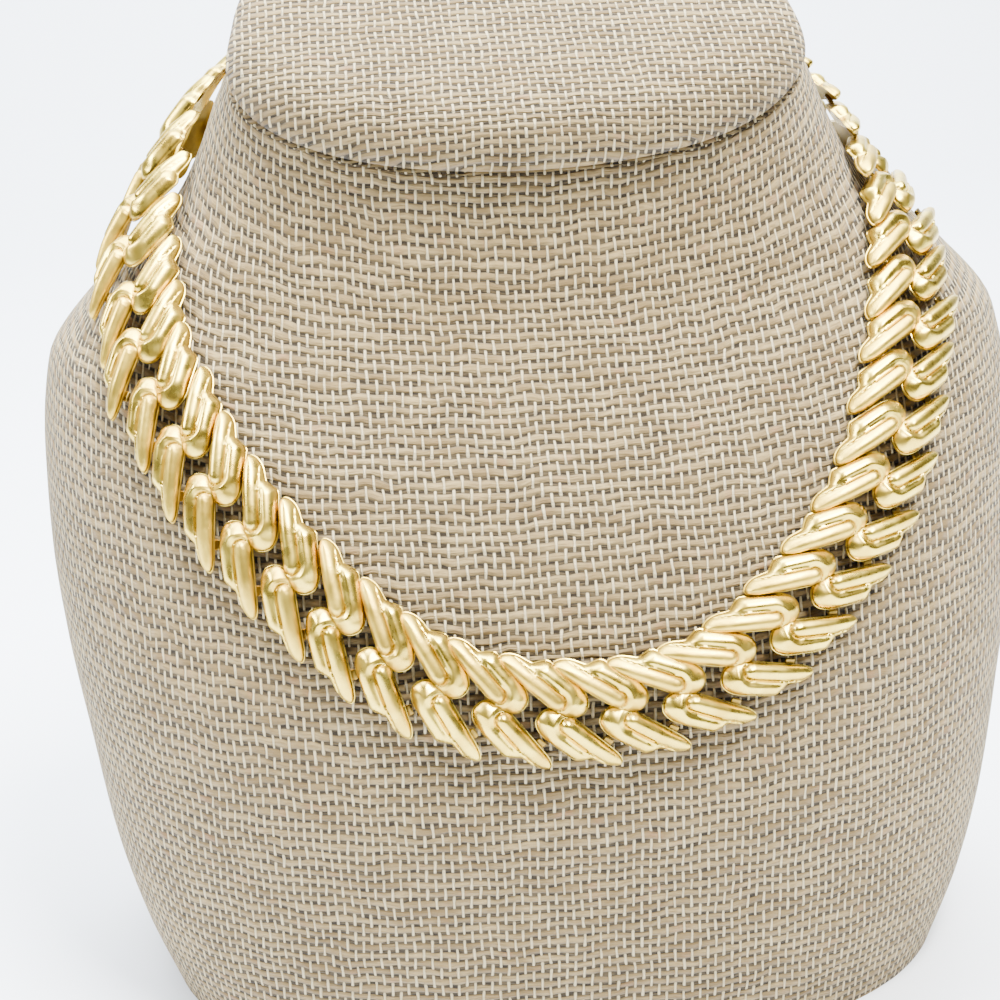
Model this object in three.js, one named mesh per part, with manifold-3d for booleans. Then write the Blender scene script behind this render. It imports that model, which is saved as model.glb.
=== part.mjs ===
// Collar choker necklace on its neck bust, in millimetres, +Z up, front facing -Y.
// The collar is a closed ring of equal cast links. Each link is two slanted petals, turned
// half a turn to each other and soldered where their round ends meet. The bust is a plain
// cloth-covered neck form that stands on its flat base.
import * as THREE from "three";
import { mergeVertices } from "three/addons/utils/BufferGeometryUtils.js";
import Module from "manifold-3d";

const wasm = await Module();
wasm.setup();

// Collar: driving dimensions.
const LINK_PITCH = 9.3;
const LINK_COUNT = 43;
const FRONT_LINK = 21; // links before the one that lies nearest the bust's middle
const FRONT_OFFSET = -2.2; // arc from the bust's middle to that link's centre
const BAND_CLEARANCE = 0.75; // least gap from the cloth to a link's underside
const BAND_CROWN = 1.7; // how far the petal tips lie below the band's centre line
const CROWN_REACH = 8; // from the centre line to the band's edge, where the crown is full

// Petal: an outline of stations from the round end, along = 0, to the pointed tip. The long
// lobe runs on the left of the petal's axis and the short lobe on its right.
const PETAL_ANGLE = THREE.MathUtils.degToRad(38.5); // axis to the band's direction
const ROUND_END = new THREE.Vector2(3.14, -0.03); // round end of the inner petal in its link
const PETAL_STATIONS = [
  { along: 0.0, left: -0.9, right: 0.9, longLobe: 1.0, valley: 1.0, shortLobe: 1.1 },
  { along: 1.1, left: -2.0, right: 2.1, longLobe: 1.7, valley: 1.7, shortLobe: 2.0 },
  { along: 3.0, left: -2.4, right: 2.4, longLobe: 2.5, valley: 2.0, shortLobe: 2.2 },
  { along: 9.4, left: -2.35, right: 2.2, longLobe: 2.3, valley: 1.7, shortLobe: 1.9 },
  { along: 10.8, left: -2.3, right: 0.6, longLobe: 2.1, valley: 1.6, shortLobe: 1.4 },
  { along: 13.2, left: -2.1, right: 0.0, longLobe: 1.6, valley: 1.3, shortLobe: 1.0 },
  { along: 14.6, left: -1.8, right: -1.0, longLobe: 0.8, valley: 0.8, shortLobe: 0.7 },
];
const LONG_RIDGE = 0.28; // ridge and valley places across the petal, as shares of its width
const VALLEY = 0.53;
const SHORT_RIDGE = 0.74;

// Lug: the tab on the long lobe's side, which reaches into the next petal's hollow back.
// Hollow: that pocket, open below and on the short lobe's side.
const LUG = { near: 10.0, far: 11.6, inner: -1.4, outer: -3.4, low: -0.7, high: -0.1 };
const LUG_ROOT = { ...LUG, outer: -1.9, high: 0.6 };
const HOLLOW = { near: 2.0, far: 8.6, inner: 0.9, outer: 3.6, low: -1.5, high: 1.1 };

// Clasp: one plain closed box at the nape.
const CLASP = { length: 16.5, width: 9.0, thickness: 3.0, corner: 1.2 };

// Bust: sections from the base to the throat. Reach is measured from the bust's axis plane,
// and the two roundness columns square up the front and the back half of each section.
const BUST_SECTIONS = [
  { height: 0, halfWidth: 71, front: 58, back: 34, frontRound: 2.6, backRound: 2.6 },
  { height: 14, halfWidth: 75.5, front: 61, back: 35, frontRound: 2.6, backRound: 2.6 },
  { height: 30, halfWidth: 79, front: 63, back: 36, frontRound: 2.55, backRound: 2.6 },
  { height: 47, halfWidth: 81, front: 64.5, back: 37, frontRound: 2.5, backRound: 2.6 },
  { height: 64, halfWidth: 83, front: 63.5, back: 38, frontRound: 2.45, backRound: 2.7 },
  { height: 80, halfWidth: 84, front: 59, back: 39, frontRound: 2.4, backRound: 2.8 },
  { height: 96, halfWidth: 83.5, front: 51.5, back: 41, frontRound: 2.42, backRound: 3.0 },
  { height: 110, halfWidth: 81.5, front: 42, back: 42, frontRound: 2.32, backRound: 3.2 },
  { height: 122, halfWidth: 72, front: 34.5, back: 42, frontRound: 2.1, backRound: 3.0 },
  { height: 134, halfWidth: 58.5, front: 32, back: 40, frontRound: 2.0, backRound: 2.4 },
  { height: 142, halfWidth: 53.5, front: 33, back: 38.5, frontRound: 2.0, backRound: 2.1 },
  { height: 150, halfWidth: 50, front: 34, back: 38, frontRound: 2.0, backRound: 2.0 },
  { height: 159, halfWidth: 46, front: 35.5, back: 38, frontRound: 2.0, backRound: 2.0 },
  { height: 182, halfWidth: 45, front: 37, back: 38, frontRound: 2.0, backRound: 2.0 },
];
// Crease: the slanted seam where the neck meets the padded cap.
const CREASE = { frontHeight: 139.5, slope: 0.56, frontReach: 33, fittingSteps: 8 };
// Cap: rings above the crease, as a rise, a share of the crease ring's size and a lean forward.
const CAP_RINGS = [
  { rise: 0.8, share: 0.985, forward: 0.9 },
  { rise: 3, share: 1, forward: 1.4 },
  { rise: 6, share: 0.975, forward: 1.2 },
  { rise: 8.2, share: 0.92, forward: 0.9 },
  { rise: 9.4, share: 0.83, forward: 0.6 },
  { rise: 10.2, share: 0.67, forward: 0.3 },
  { rise: 10.8, share: 0.4, forward: 0 },
  { rise: 11, share: 0.1, forward: 0 },
];
const BUST_SEGMENTS = 36;
const THROAT_SHARES = [0.25, 0.5, 0.75]; // rings between the last level ring and the crease
const BUST_RING_HEIGHTS = [0, 14, 30, 47, 64, 80, 96, 104, 110, 116, 122, 128, 134];

// Route: height of the band's centre line over the base, by azimuth from the front.
const ROUTE_HEIGHTS = [
  { azimuth: -180, height: 158.5 },
  { azimuth: -160, height: 158 },
  { azimuth: -140, height: 156 },
  { azimuth: -120, height: 151.5 },
  { azimuth: -100, height: 143.5 },
  { azimuth: -80, height: 128 },
  { azimuth: -60, height: 107.5 },
  { azimuth: -40, height: 86.5 },
  { azimuth: -20, height: 70 },
  { azimuth: 0, height: 64.2 },
  { azimuth: 20, height: 68 },
  { azimuth: 40, height: 84 },
  { azimuth: 60, height: 108.5 },
  { azimuth: 80, height: 129 },
  { azimuth: 100, height: 142.5 },
  { azimuth: 120, height: 151.5 },
  { azimuth: 140, height: 156 },
  { azimuth: 160, height: 158 },
];
const ROUTE_STEPS = 720;
const NORMAL_SPAN = 6; // half the span over which the cloth's slope is averaged
const SEAT_SMOOTHING = 12; // route samples to either side over which the seat is evened out

const gold = new THREE.MeshStandardMaterial({ color: 0xd9b45f, roughness: 0.34, metalness: 1 });
const burlap = new THREE.MeshStandardMaterial({ color: 0xc9b699, roughness: 0.95, metalness: 0 });

// Value of a named column between table rows, on a cubic that never overshoots its rows.
function columnAt(rows, key, column, at) {
  const last = rows.length - 1;
  const x = THREE.MathUtils.clamp(at, rows[0][key], rows[last][key]);
  let i = 0;
  while (i < last - 1 && x > rows[i + 1][key]) i += 1;
  const slope = (k) => (rows[k + 1][column] - rows[k][column]) / (rows[k + 1][key] - rows[k][key]);
  const tangent = (k) => {
    if (k === 0 || k === last) return k === 0 ? slope(0) : slope(last - 1);
    const product = slope(k - 1) * slope(k);
    return product <= 0 ? 0 : (2 * product) / (slope(k - 1) + slope(k));
  };
  const span = rows[i + 1][key] - rows[i][key];
  const t = (x - rows[i][key]) / span;
  const rise = rows[i + 1][column] - rows[i][column];
  const a = span * tangent(i) - rise;
  const b = rise - span * tangent(i + 1);
  return rows[i][column] + t * rise + t * (1 - t) * (a * (1 - t) + b * t);
}

// Point of the bust's surface below the crease, at an azimuth from the front and a height.
function bustPoint(azimuth, height) {
  const halfWidth = columnAt(BUST_SECTIONS, "height", "halfWidth", height);
  const side = Math.cos(azimuth) > 0 ? "front" : "back";
  const power = columnAt(BUST_SECTIONS, "height", `${side}Round`, height);
  const depth = columnAt(BUST_SECTIONS, "height", side, height);
  const across = Math.abs(Math.sin(azimuth)) / halfWidth;
  const along = Math.abs(Math.cos(azimuth)) / depth;
  const reach = (across ** power + along ** power) ** (-1 / power);
  return new THREE.Vector3(reach * Math.sin(azimuth), -reach * Math.cos(azimuth), height);
}

// Outward normal of the bust, averaged over a span about a link's size.
function bustNormal(azimuth, height) {
  const reach = bustPoint(azimuth, height).setZ(0).length();
  const turn = NORMAL_SPAN / reach;
  const across = bustPoint(azimuth + turn, height).sub(bustPoint(azimuth - turn, height));
  const upper = bustPoint(azimuth, height + NORMAL_SPAN);
  const rise = upper.sub(bustPoint(azimuth, height - NORMAL_SPAN));
  return across.cross(rise).normalize();
}

// Lowers a point by the band's crown, which is full at the band's edges.
function crowned(point) {
  const share = point.y / CROWN_REACH;
  return point.setZ(point.z - BAND_CROWN * share * share);
}

// Turns petal places (along the axis from the round end, across to the short lobe) to the link.
function petalPoint(along, across, height) {
  const x = ROUND_END.x - along * Math.cos(PETAL_ANGLE) + across * Math.sin(PETAL_ANGLE);
  const y = ROUND_END.y + along * Math.sin(PETAL_ANGLE) + across * Math.cos(PETAL_ANGLE);
  return crowned(new THREE.Vector3(x, y, height));
}

// Height of the route at an azimuth, on a smooth closed curve through the table.
function routeHeight(azimuth) {
  const rows = ROUTE_HEIGHTS;
  const step = (2 * Math.PI) / rows.length;
  const place = (azimuth + Math.PI) / step;
  const i = Math.floor(place);
  const t = place - i;
  const row = (k) => rows[(i + k + rows.length) % rows.length].height;
  const bend = 2 * row(-1) - 5 * row(0) + 4 * row(1) - row(2);
  const twist = 3 * (row(0) - row(1)) + row(2) - row(-1);
  return row(0) + 0.5 * t * (row(1) - row(-1) + t * (bend + t * twist));
}

// How deep a point lies in the cloth, measured along the cloth's normal at the seat.
function depthInCloth(point, normal) {
  const cloth = bustPoint(Math.atan2(point.x, -point.y), point.z);
  const radial = new THREE.Vector3(cloth.x, cloth.y, 0);
  const gap = radial.length() - Math.hypot(point.x, point.y);
  return gap * radial.normalize().dot(normal);
}

// How far a link's middle stands off the cloth so that no part of its underside touches it.
function seatLift(frame, normal) {
  let lift = 0;
  for (const { along, left, right } of PETAL_STATIONS) {
    for (const across of [left, right]) {
      const corner = petalPoint(along, across, 0);
      const opposite = new THREE.Vector3(-corner.x, -corner.y, corner.z);
      lift = Math.max(lift, depthInCloth(corner.applyMatrix4(frame), normal));
      lift = Math.max(lift, depthInCloth(opposite.applyMatrix4(frame), normal));
    }
  }
  return lift + BAND_CLEARANCE;
}

// A closed list's largest values over a window, evened by their mean over the same window.
function evenedPeaks(values) {
  const wide = 2 * SEAT_SMOOTHING + 1;
  const window = (list, at) => {
    const near = (k) => list[(at + k - SEAT_SMOOTHING + list.length) % list.length];
    return Array.from({ length: wide }, (_, k) => near(k));
  };
  const mean = (list) => list.reduce((sum, value) => sum + value) / list.length;
  const peaks = values.map((_, i) => Math.max(...window(values, i)));
  return peaks.map((_, i) => mean(window(peaks, i)));
}

// Frame of a link: x along the band, y to its neck edge, z off the cloth.
function linkFrame(point, along, normal) {
  const level = along.clone().addScaledVector(normal, -along.dot(normal)).normalize();
  const neckward = normal.clone().cross(level);
  return new THREE.Matrix4().makeBasis(level, neckward, normal).setPosition(point);
}

// The band's centre line as dense samples, each with its arc length from the front.
function bandRoute() {
  const seats = Array.from({ length: ROUTE_STEPS }, (_, i) => {
    const azimuth = -Math.PI + (2 * Math.PI * i) / ROUTE_STEPS;
    const height = routeHeight(azimuth);
    return { cloth: bustPoint(azimuth, height), normal: bustNormal(azimuth, height) };
  });
  const lifts = seats.map(({ cloth, normal }, i) => {
    const along = seats[(i + 1) % ROUTE_STEPS].cloth.clone().sub(cloth);
    return seatLift(linkFrame(cloth, along, normal), normal);
  });
  const evenLifts = evenedPeaks(lifts);
  const samples = [];
  for (let i = 0; i <= ROUTE_STEPS; i += 1) {
    const { cloth, normal } = seats[i % ROUTE_STEPS];
    const point = cloth.clone().addScaledVector(normal, evenLifts[i % ROUTE_STEPS]);
    const before = samples[i - 1];
    const arc = before ? before.arc + before.point.distanceTo(point) : 0;
    samples.push({ point, normal, arc });
  }
  const front = samples[ROUTE_STEPS / 2].arc;
  return samples.map((sample) => ({ ...sample, arc: sample.arc - front }));
}

const route = bandRoute();
const loopLength = route[ROUTE_STEPS].arc - route[0].arc;

// Point and normal of the route at an arc length, which wraps round the loop.
function routeAt(arc) {
  const first = route[0].arc;
  const wrapped = first + THREE.MathUtils.euclideanModulo(arc - first, loopLength);
  let i = 0;
  while (i < ROUTE_STEPS - 1 && route[i + 1].arc < wrapped) i += 1;
  const t = (wrapped - route[i].arc) / (route[i + 1].arc - route[i].arc);
  const point = route[i].point.clone().lerp(route[i + 1].point, t);
  const normal = route[i].normal.clone().lerp(route[i + 1].normal, t).normalize();
  return { point, normal };
}

// Frame of a piece that is centred at an arc length along the band.
function stationFrame(arc) {
  const { point, normal } = routeAt(arc);
  const ahead = routeAt(arc + LINK_PITCH / 2).point;
  return linkFrame(point, ahead.sub(routeAt(arc - LINK_PITCH / 2).point), normal);
}

// Closed body from a list of equal rings of points, each ring anticlockwise seen from its end.
function loft(rings) {
  const count = rings[0].length;
  const index = [];
  for (let r = 0; r + 1 < rings.length; r += 1) {
    for (let k = 0; k < count; k += 1) {
      const a = r * count + k;
      const b = r * count + ((k + 1) % count);
      index.push(a, b, b + count, a, b + count, a + count);
    }
  }
  const top = (rings.length - 1) * count;
  for (let k = 1; k + 1 < count; k += 1) {
    index.push(0, k + 1, k);
    index.push(top, top + k, top + k + 1);
  }
  const geometry = new THREE.BufferGeometry().setFromPoints(rings.flat());
  geometry.setIndex(index);
  return geometry;
}

// Solid of a closed geometry for joining.
function solidOf(geometry) {
  const bare = geometry.clone();
  bare.deleteAttribute("normal");
  bare.deleteAttribute("uv");
  const merged = mergeVertices(bare, 1e-4);
  const mesh = new wasm.Mesh({
    numProp: 3,
    vertProperties: new Float32Array(merged.attributes.position.array),
    triVerts: new Uint32Array(merged.index.array),
  });
  return new wasm.Manifold(mesh);
}

// Geometry of a joined solid.
function geometryOf(solid) {
  const mesh = solid.getMesh();
  const geometry = new THREE.BufferGeometry();
  geometry.setAttribute("position", new THREE.BufferAttribute(mesh.vertProperties, 3));
  geometry.setIndex(new THREE.BufferAttribute(mesh.triVerts, 1));
  geometry.computeVertexNormals();
  return geometry;
}

// The inner petal, with its point at the neck edge.
function petalGeometry() {
  const rings = PETAL_STATIONS.map((station) => {
    const { along, left, right } = station;
    const acrossAt = (share) => THREE.MathUtils.lerp(left, right, share);
    return [
      petalPoint(along, left, 0),
      petalPoint(along, acrossAt(LONG_RIDGE), station.longLobe),
      petalPoint(along, acrossAt(VALLEY), station.valley),
      petalPoint(along, acrossAt(SHORT_RIDGE), station.shortLobe),
      petalPoint(along, right, 0),
    ];
  });
  return loft(rings);
}

// A bar across the petal's axis, such as the lug or the space of the hollow.
function crossBar({ near, far, inner, outer, low, high }) {
  const ring = (across) => [
    petalPoint(far, across, low),
    petalPoint(far, across, high),
    petalPoint(near, across, high),
    petalPoint(near, across, low),
  ];
  return loft([ring(Math.min(inner, outer)), ring(Math.max(inner, outer))]);
}

// A whole link in its own frame.
function linkSolid() {
  const hollow = solidOf(crossBar(HOLLOW));
  const lug = solidOf(crossBar(LUG));
  const root = solidOf(crossBar(LUG_ROOT));
  const petal = solidOf(petalGeometry()).subtract(hollow).add(lug).add(root);
  return petal.add(petal.rotate([0, 0, 180]));
}

// The band's links run from the clasp's left side round the front to its right side.
function linkArc(index) {
  return FRONT_OFFSET + (index - FRONT_LINK) * LINK_PITCH;
}

// Point of the slanted crease at an azimuth, found by a few steps up the surface.
function creasePoint(azimuth) {
  let point = bustPoint(azimuth, CREASE.frontHeight);
  for (let i = 0; i < CREASE.fittingSteps; i += 1) {
    const height = CREASE.frontHeight + CREASE.slope * (point.y + CREASE.frontReach);
    point = bustPoint(azimuth, height);
  }
  return point;
}

// The bust: horizontal rings up to the throat, then rings that follow the slanted crease.
function bustGeometry() {
  const turn = (2 * Math.PI) / BUST_SEGMENTS;
  const azimuths = Array.from({ length: BUST_SEGMENTS }, (_, k) => turn * k);
  const rings = BUST_RING_HEIGHTS.map((height) => azimuths.map((a) => bustPoint(a, height)));
  const lowest = BUST_RING_HEIGHTS.at(-1);
  const creaseRing = azimuths.map(creasePoint);
  for (const share of THROAT_SHARES) {
    const height = (k) => THREE.MathUtils.lerp(lowest, creaseRing[k].z, share);
    rings.push(azimuths.map((azimuth, k) => bustPoint(azimuth, height(k))));
  }
  rings.push(creaseRing);
  const centre = creaseRing.reduce((sum, p) => sum.add(p), new THREE.Vector3());
  centre.divideScalar(BUST_SEGMENTS);
  const lean = new THREE.Vector3(0, -CREASE.slope, 1).normalize();
  for (const { rise, share, forward } of CAP_RINGS) {
    const shifted = centre.clone().addScaledVector(lean, rise);
    shifted.y -= forward;
    rings.push(creaseRing.map((p) => p.clone().sub(centre).multiplyScalar(share).add(shifted)));
  }
  return loft(rings);
}

// The clasp: a box with cut corners that follows the band at the nape.
function claspGeometry() {
  const { length, width, thickness, corner } = CLASP;
  const outline = new THREE.Shape();
  outline.moveTo(-length / 2 + corner, -width / 2);
  outline.lineTo(length / 2 - corner, -width / 2);
  outline.lineTo(length / 2, -width / 2 + corner);
  outline.lineTo(length / 2, width / 2 - corner);
  outline.lineTo(length / 2 - corner, width / 2);
  outline.lineTo(-length / 2 + corner, width / 2);
  outline.lineTo(-length / 2, width / 2 - corner);
  outline.lineTo(-length / 2, -width / 2 + corner);
  outline.closePath();
  return new THREE.ExtrudeGeometry(outline, { depth: thickness, bevelEnabled: false });
}

// Adds a named mesh at a placement.
function addPiece(group, name, geometry, material, placement = new THREE.Matrix4()) {
  const mesh = new THREE.Mesh(geometry, material);
  mesh.name = name;
  placement.decompose(mesh.position, mesh.quaternion, mesh.scale);
  group.add(mesh);
}

const part = new THREE.Group();
part.name = "collar_choker_on_neck_bust";

addPiece(part, "neck_bust", bustGeometry(), burlap);

const linkGeometry = geometryOf(linkSolid());
for (let i = 0; i < LINK_COUNT; i += 1) {
  const name = `link_${String(i + 1).padStart(2, "0")}`;
  addPiece(part, name, linkGeometry, gold, stationFrame(linkArc(i)));
}

const claspArc = (linkArc(LINK_COUNT - 1) + linkArc(0) + loopLength) / 2;
addPiece(part, "clasp", claspGeometry(), gold, stationFrame(claspArc));

// The origin is the middle of the footprint, on the surface that the base stands on.
const box = new THREE.Box3().setFromObject(part, true);
const middle = box.getCenter(new THREE.Vector3());
part.children.forEach((child) => child.position.sub(new THREE.Vector3(middle.x, middle.y, 0)));

export default part;
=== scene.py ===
"""Looks of a collar choker necklace that lies on its cloth-covered neck bust.

The collar is a closed ring of equal cast links with two slanted petals each. Every link is
placed on its node of the frame. Sizes inside the classes are in millimetres; the meshes are
brought to metres when they are placed. The front faces -Y and +Z is up.
"""

import logging
import math
from dataclasses import dataclass, field
from enum import Enum
from typing import Callable

import bmesh
import bpy
import numpy as np
from mathutils import Matrix, Vector


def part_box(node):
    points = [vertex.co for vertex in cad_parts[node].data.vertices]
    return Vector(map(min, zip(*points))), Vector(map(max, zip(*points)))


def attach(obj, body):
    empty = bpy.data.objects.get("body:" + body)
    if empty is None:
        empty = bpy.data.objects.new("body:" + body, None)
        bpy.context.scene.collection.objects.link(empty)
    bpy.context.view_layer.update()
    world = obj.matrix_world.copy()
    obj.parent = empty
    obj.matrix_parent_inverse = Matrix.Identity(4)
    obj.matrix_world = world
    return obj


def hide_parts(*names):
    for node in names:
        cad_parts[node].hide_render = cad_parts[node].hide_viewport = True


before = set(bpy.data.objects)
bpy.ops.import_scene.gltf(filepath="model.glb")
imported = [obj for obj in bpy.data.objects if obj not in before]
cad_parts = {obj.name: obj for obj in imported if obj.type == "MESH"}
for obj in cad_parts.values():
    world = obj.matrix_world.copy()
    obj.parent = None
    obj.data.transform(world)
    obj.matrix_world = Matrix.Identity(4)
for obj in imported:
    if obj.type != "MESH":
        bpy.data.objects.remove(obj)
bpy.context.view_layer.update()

log = logging.getLogger("collar")

MM = 0.001
BODY = "root"


class Slot(Enum):
    """Names of the material slots."""

    GOLD = "gold_tone"
    CLOTH = "burlap"


def smoothstep(low: float, high: float, value: float) -> float:
    """Rises smoothly from 0 at low to 1 at high.

    Args:
        low: Where the rise starts.
        high: Where the rise ends.
        value: The place asked for.

    Returns:
        A share from 0 to 1.
    """
    share = min(1.0, max(0.0, (value - low) / (high - low)))
    return share * share * (3 - 2 * share)


@dataclass(frozen=True)
class Table:
    """Rows with named columns, read between the rows on a cubic that never overshoots.

    Args:
        columns: Column names; the first one is the key and rises from row to row.
        rows: One tuple of values for each row.
    """

    columns: tuple[str, ...]
    rows: tuple[tuple[float, ...], ...]

    def at(self, column: str, key: float) -> float:
        """Value of a column at a key.

        Args:
            column: Name of the column.
            key: Place along the first column, which is clamped to the table.

        Returns:
            The value on the smooth curve through the rows.
        """
        keys = [row[0] for row in self.rows]
        values = [row[self.columns.index(column)] for row in self.rows]
        last = len(keys) - 1
        x = min(max(key, keys[0]), keys[last])
        i = 0
        while i < last - 1 and x > keys[i + 1]:
            i += 1
        slopes = [(values[k + 1] - values[k]) / (keys[k + 1] - keys[k]) for k in range(last)]

        def tangent(k: int) -> float:
            """Slope of the curve at row k."""
            if k in (0, last):
                return slopes[min(k, last - 1)]
            product = slopes[k - 1] * slopes[k]
            return 0.0 if product <= 0 else 2 * product / (slopes[k - 1] + slopes[k])

        span = keys[i + 1] - keys[i]
        t = (x - keys[i]) / span
        rise = values[i + 1] - values[i]
        a = span * tangent(i) - rise
        b = rise - span * tangent(i + 1)
        return values[i] + t * rise + t * (1 - t) * (a * (1 - t) + b * t)


# --------------------------------------------------------------------------- shader helpers


def colour_sockets(sockets: object) -> list[bpy.types.NodeSocket]:
    """The colour sockets among a Mix node's inputs or outputs."""
    return [socket for socket in sockets if socket.type == "RGBA"]


class Shader:
    """Adds and joins the nodes of one material or node group."""

    def __init__(self, tree: bpy.types.NodeTree) -> None:
        """Keeps the tree that the nodes go in.

        Args:
            tree: Node tree of a material or of a group.
        """
        self.tree = tree

    def node(self, kind: str, **settings: object) -> bpy.types.Node:
        """Adds a node.

        Args:
            kind: The node's type name, without its ShaderNode start.
            **settings: Attributes of the node.

        Returns:
            The new node.
        """
        made = self.tree.nodes.new("ShaderNode" + kind)
        for name, value in settings.items():
            setattr(made, name, value)
        return made

    def put(self, socket: bpy.types.NodeSocket, value: object) -> None:
        """Joins a socket to another one, or sets its value."""
        if isinstance(value, bpy.types.NodeSocket):
            self.tree.links.new(value, socket)
        else:
            socket.default_value = value

    def math(self, operation: str, *values: object, clamp: bool = False) -> bpy.types.NodeSocket:
        """Adds a Math node.

        Args:
            operation: Name of the operation.
            *values: Numbers or sockets to work on.
            clamp: Whether the result is held from 0 to 1.

        Returns:
            The result's socket.
        """
        made = self.node("Math", operation=operation, use_clamp=clamp)
        for socket, value in zip(made.inputs, values):
            self.put(socket, value)
        return made.outputs[0]

    def mix(self, share: object, first: object, second: object) -> bpy.types.NodeSocket:
        """Mixes two colours.

        Args:
            share: How much of the second colour shows.
            first: First colour.
            second: Second colour.

        Returns:
            The mixed colour's socket.
        """
        made = self.node("Mix", data_type="RGBA")
        self.put(made.inputs["Factor"], share)
        for socket, colour in zip(colour_sockets(made.inputs), (first, second)):
            self.put(socket, colour)
        return colour_sockets(made.outputs)[0]

    def span(self, value: object, low: float, high: float, to: tuple[float, float] = (0.0, 1.0)):
        """Maps a value's range to another range, smoothly and clamped.

        Args:
            value: The value's socket.
            low: Start of its range.
            high: End of its range.
            to: The range it becomes.

        Returns:
            The mapped value's socket.
        """
        made = self.node("MapRange", interpolation_type="SMOOTHSTEP")
        self.put(made.inputs["Value"], value)
        self.put(made.inputs["From Min"], low)
        self.put(made.inputs["From Max"], high)
        self.put(made.inputs["To Min"], to[0])
        self.put(made.inputs["To Max"], to[1])
        return made.outputs["Result"]

    def noise(self, vector: object, scale: float, detail: float = 3.0) -> bpy.types.NodeSocket:
        """Adds a noise texture.

        Args:
            vector: Coordinates.
            scale: Waves for each unit of the coordinates.
            detail: Octaves.

        Returns:
            The noise value's socket.
        """
        made = self.node("TexNoise")
        self.put(made.inputs["Vector"], vector)
        self.put(made.inputs["Scale"], scale)
        self.put(made.inputs["Detail"], detail)
        return made.outputs["Fac"]


def new_group(name: str, inputs: dict[str, str], outputs: dict[str, str]) -> bpy.types.NodeTree:
    """Starts a shader node group.

    Args:
        name: The group's name.
        inputs: Input names and their kinds, Float, Vector or Color.
        outputs: Output names and their kinds.

    Returns:
        The group, with its input and output nodes in place.
    """
    group = bpy.data.node_groups.new(name, "ShaderNodeTree")
    for names, way in ((inputs, "INPUT"), (outputs, "OUTPUT")):
        for socket_name, kind in names.items():
            group.interface.new_socket(socket_name, in_out=way, socket_type=f"NodeSocket{kind}")
    group.nodes.new("NodeGroupInput")
    group.nodes.new("NodeGroupOutput")
    return group


def group_ends(group: bpy.types.NodeTree) -> tuple[bpy.types.Node, bpy.types.Node]:
    """The input and output nodes of a group."""
    kinds = {node.bl_idname: node for node in group.nodes}
    return kinds["NodeGroupInput"], kinds["NodeGroupOutput"]


def grain_group() -> bpy.types.NodeTree:
    """Fine cast grain: a height and a mask from noise at two scales, in piece coordinates.

    Returns:
        The group, with the inputs Vector and Scale and the outputs Height and Mask.
    """
    group = new_group(
        "fine_grain", {"Vector": "Vector", "Scale": "Float"}, {"Height": "Float", "Mask": "Float"}
    )
    shader = Shader(group)
    start, end = group_ends(group)
    fine = shader.node("TexNoise")
    shader.put(fine.inputs["Vector"], start.outputs["Vector"])
    shader.put(fine.inputs["Scale"], start.outputs["Scale"])
    fine.inputs["Detail"].default_value = 4.0
    broad = shader.node("TexNoise")
    shader.put(broad.inputs["Vector"], start.outputs["Vector"])
    shader.put(broad.inputs["Scale"], shader.math("MULTIPLY", start.outputs["Scale"], 0.16))
    broad.inputs["Detail"].default_value = 3.0
    shader.put(end.inputs["Height"], fine.outputs["Fac"])
    shader.put(end.inputs["Mask"], shader.span(broad.outputs["Fac"], 0.35, 0.68))
    return group


def weave_group() -> bpy.types.NodeTree:
    """Plain weave of thick flat weft rows under and over thin warp threads.

    The vector counts warp threads along X and weft rows along Y.

    Returns:
        The group, with the input Vector and the outputs Height, Warp, Gap, Row and Thread. The gap output marks the
        low places between the threads, which the cloth colours dark as painted shade.
    """
    group = new_group(
        "plain_weave",
        {"Vector": "Vector", "WarpShare": "Float", "WeftShare": "Float"},
        {"Height": "Float", "Warp": "Float", "GapShade": "Float", "Row": "Float", "Thread": "Float"},
    )
    s = Shader(group)
    start, end = group_ends(group)
    split = s.node("SeparateXYZ")
    s.put(split.inputs[0], start.outputs["Vector"])
    warps, wefts = split.outputs["X"], split.outputs["Y"]
    column = s.math("FLOOR", warps)
    row = s.math("FLOOR", wefts)

    def profile(place: object, share: object) -> bpy.types.NodeSocket:
        """Half-round section of a thread that fills a share of its pitch."""
        off = s.math("ABSOLUTE", s.math("SUBTRACT", s.math("FRACT", place), 0.5))
        across = s.math("DIVIDE", s.math("MULTIPLY", off, 2.0), share)
        under = s.math("SUBTRACT", 1.0, s.math("MULTIPLY", across, across))
        return s.math("SQRT", s.math("MAXIMUM", under, 0.0))

    def swing(place: object, other: object, turn: float) -> bpy.types.NodeSocket:
        """Rise and fall of a thread as it passes over and under, from -1 to 1."""
        phase = s.math("MULTIPLY", s.math("ADD", s.math("SUBTRACT", place, 0.5), other), math.pi)
        return s.math("COSINE", s.math("ADD", phase, turn))

    weft = profile(wefts, start.outputs["WeftShare"])
    warp = profile(warps, start.outputs["WarpShare"])
    weft_top = s.math("MULTIPLY", weft, s.math("ADD", 0.62, s.math("MULTIPLY", swing(warps, row, 0.0), 0.16)))
    lift = s.math("ADD", 0.52, s.math("MULTIPLY", swing(wefts, column, math.pi), 0.46))
    warp_top = s.math("MULTIPLY", s.math("POWER", warp, 0.5), lift)
    top = s.math("MAXIMUM", weft_top, warp_top)
    over = s.span(s.math("SUBTRACT", warp_top, weft_top), -0.04, 0.08)
    s.put(end.inputs["Height"], top)
    s.put(end.inputs["Warp"], over)
    # Mask for painted shade: high in the low places between the threads, which the cloth colours dark.
    s.put(end.inputs["GapShade"], s.math("SUBTRACT", 1.0, s.span(top, 0.08, 0.46)))
    s.put(end.inputs["Row"], row)
    s.put(end.inputs["Thread"], column)
    return group


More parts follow.
